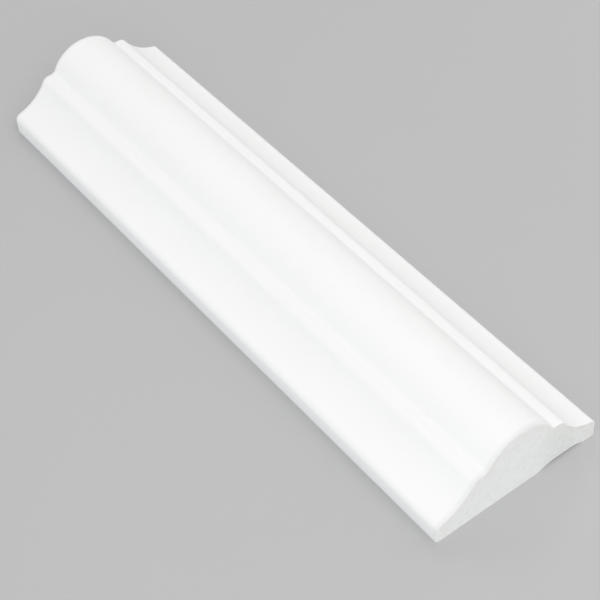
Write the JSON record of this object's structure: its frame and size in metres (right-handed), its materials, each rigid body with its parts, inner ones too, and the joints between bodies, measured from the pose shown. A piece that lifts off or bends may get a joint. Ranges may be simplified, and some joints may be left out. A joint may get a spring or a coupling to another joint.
{
  "type": "dado rail",
  "caption": "Short length of white moulded dado rail: a round bead between level steps, coves and thin lips, flat on the wall side, sawn square at the ends.",
  "frame": {"origin": "middle of the flat wall face, which the rail lies on", "axes": "+X along the rail, +Y across its width, +Z out from the wall face through the crest of the bead"},
  "size_m": [0.225, 0.06, 0.025],
  "materials": {
    "white_foam": "satin"
  },
  "bodies": {
    "root": {"dado_rail": "white_foam"}
  },
  "joints": []
}
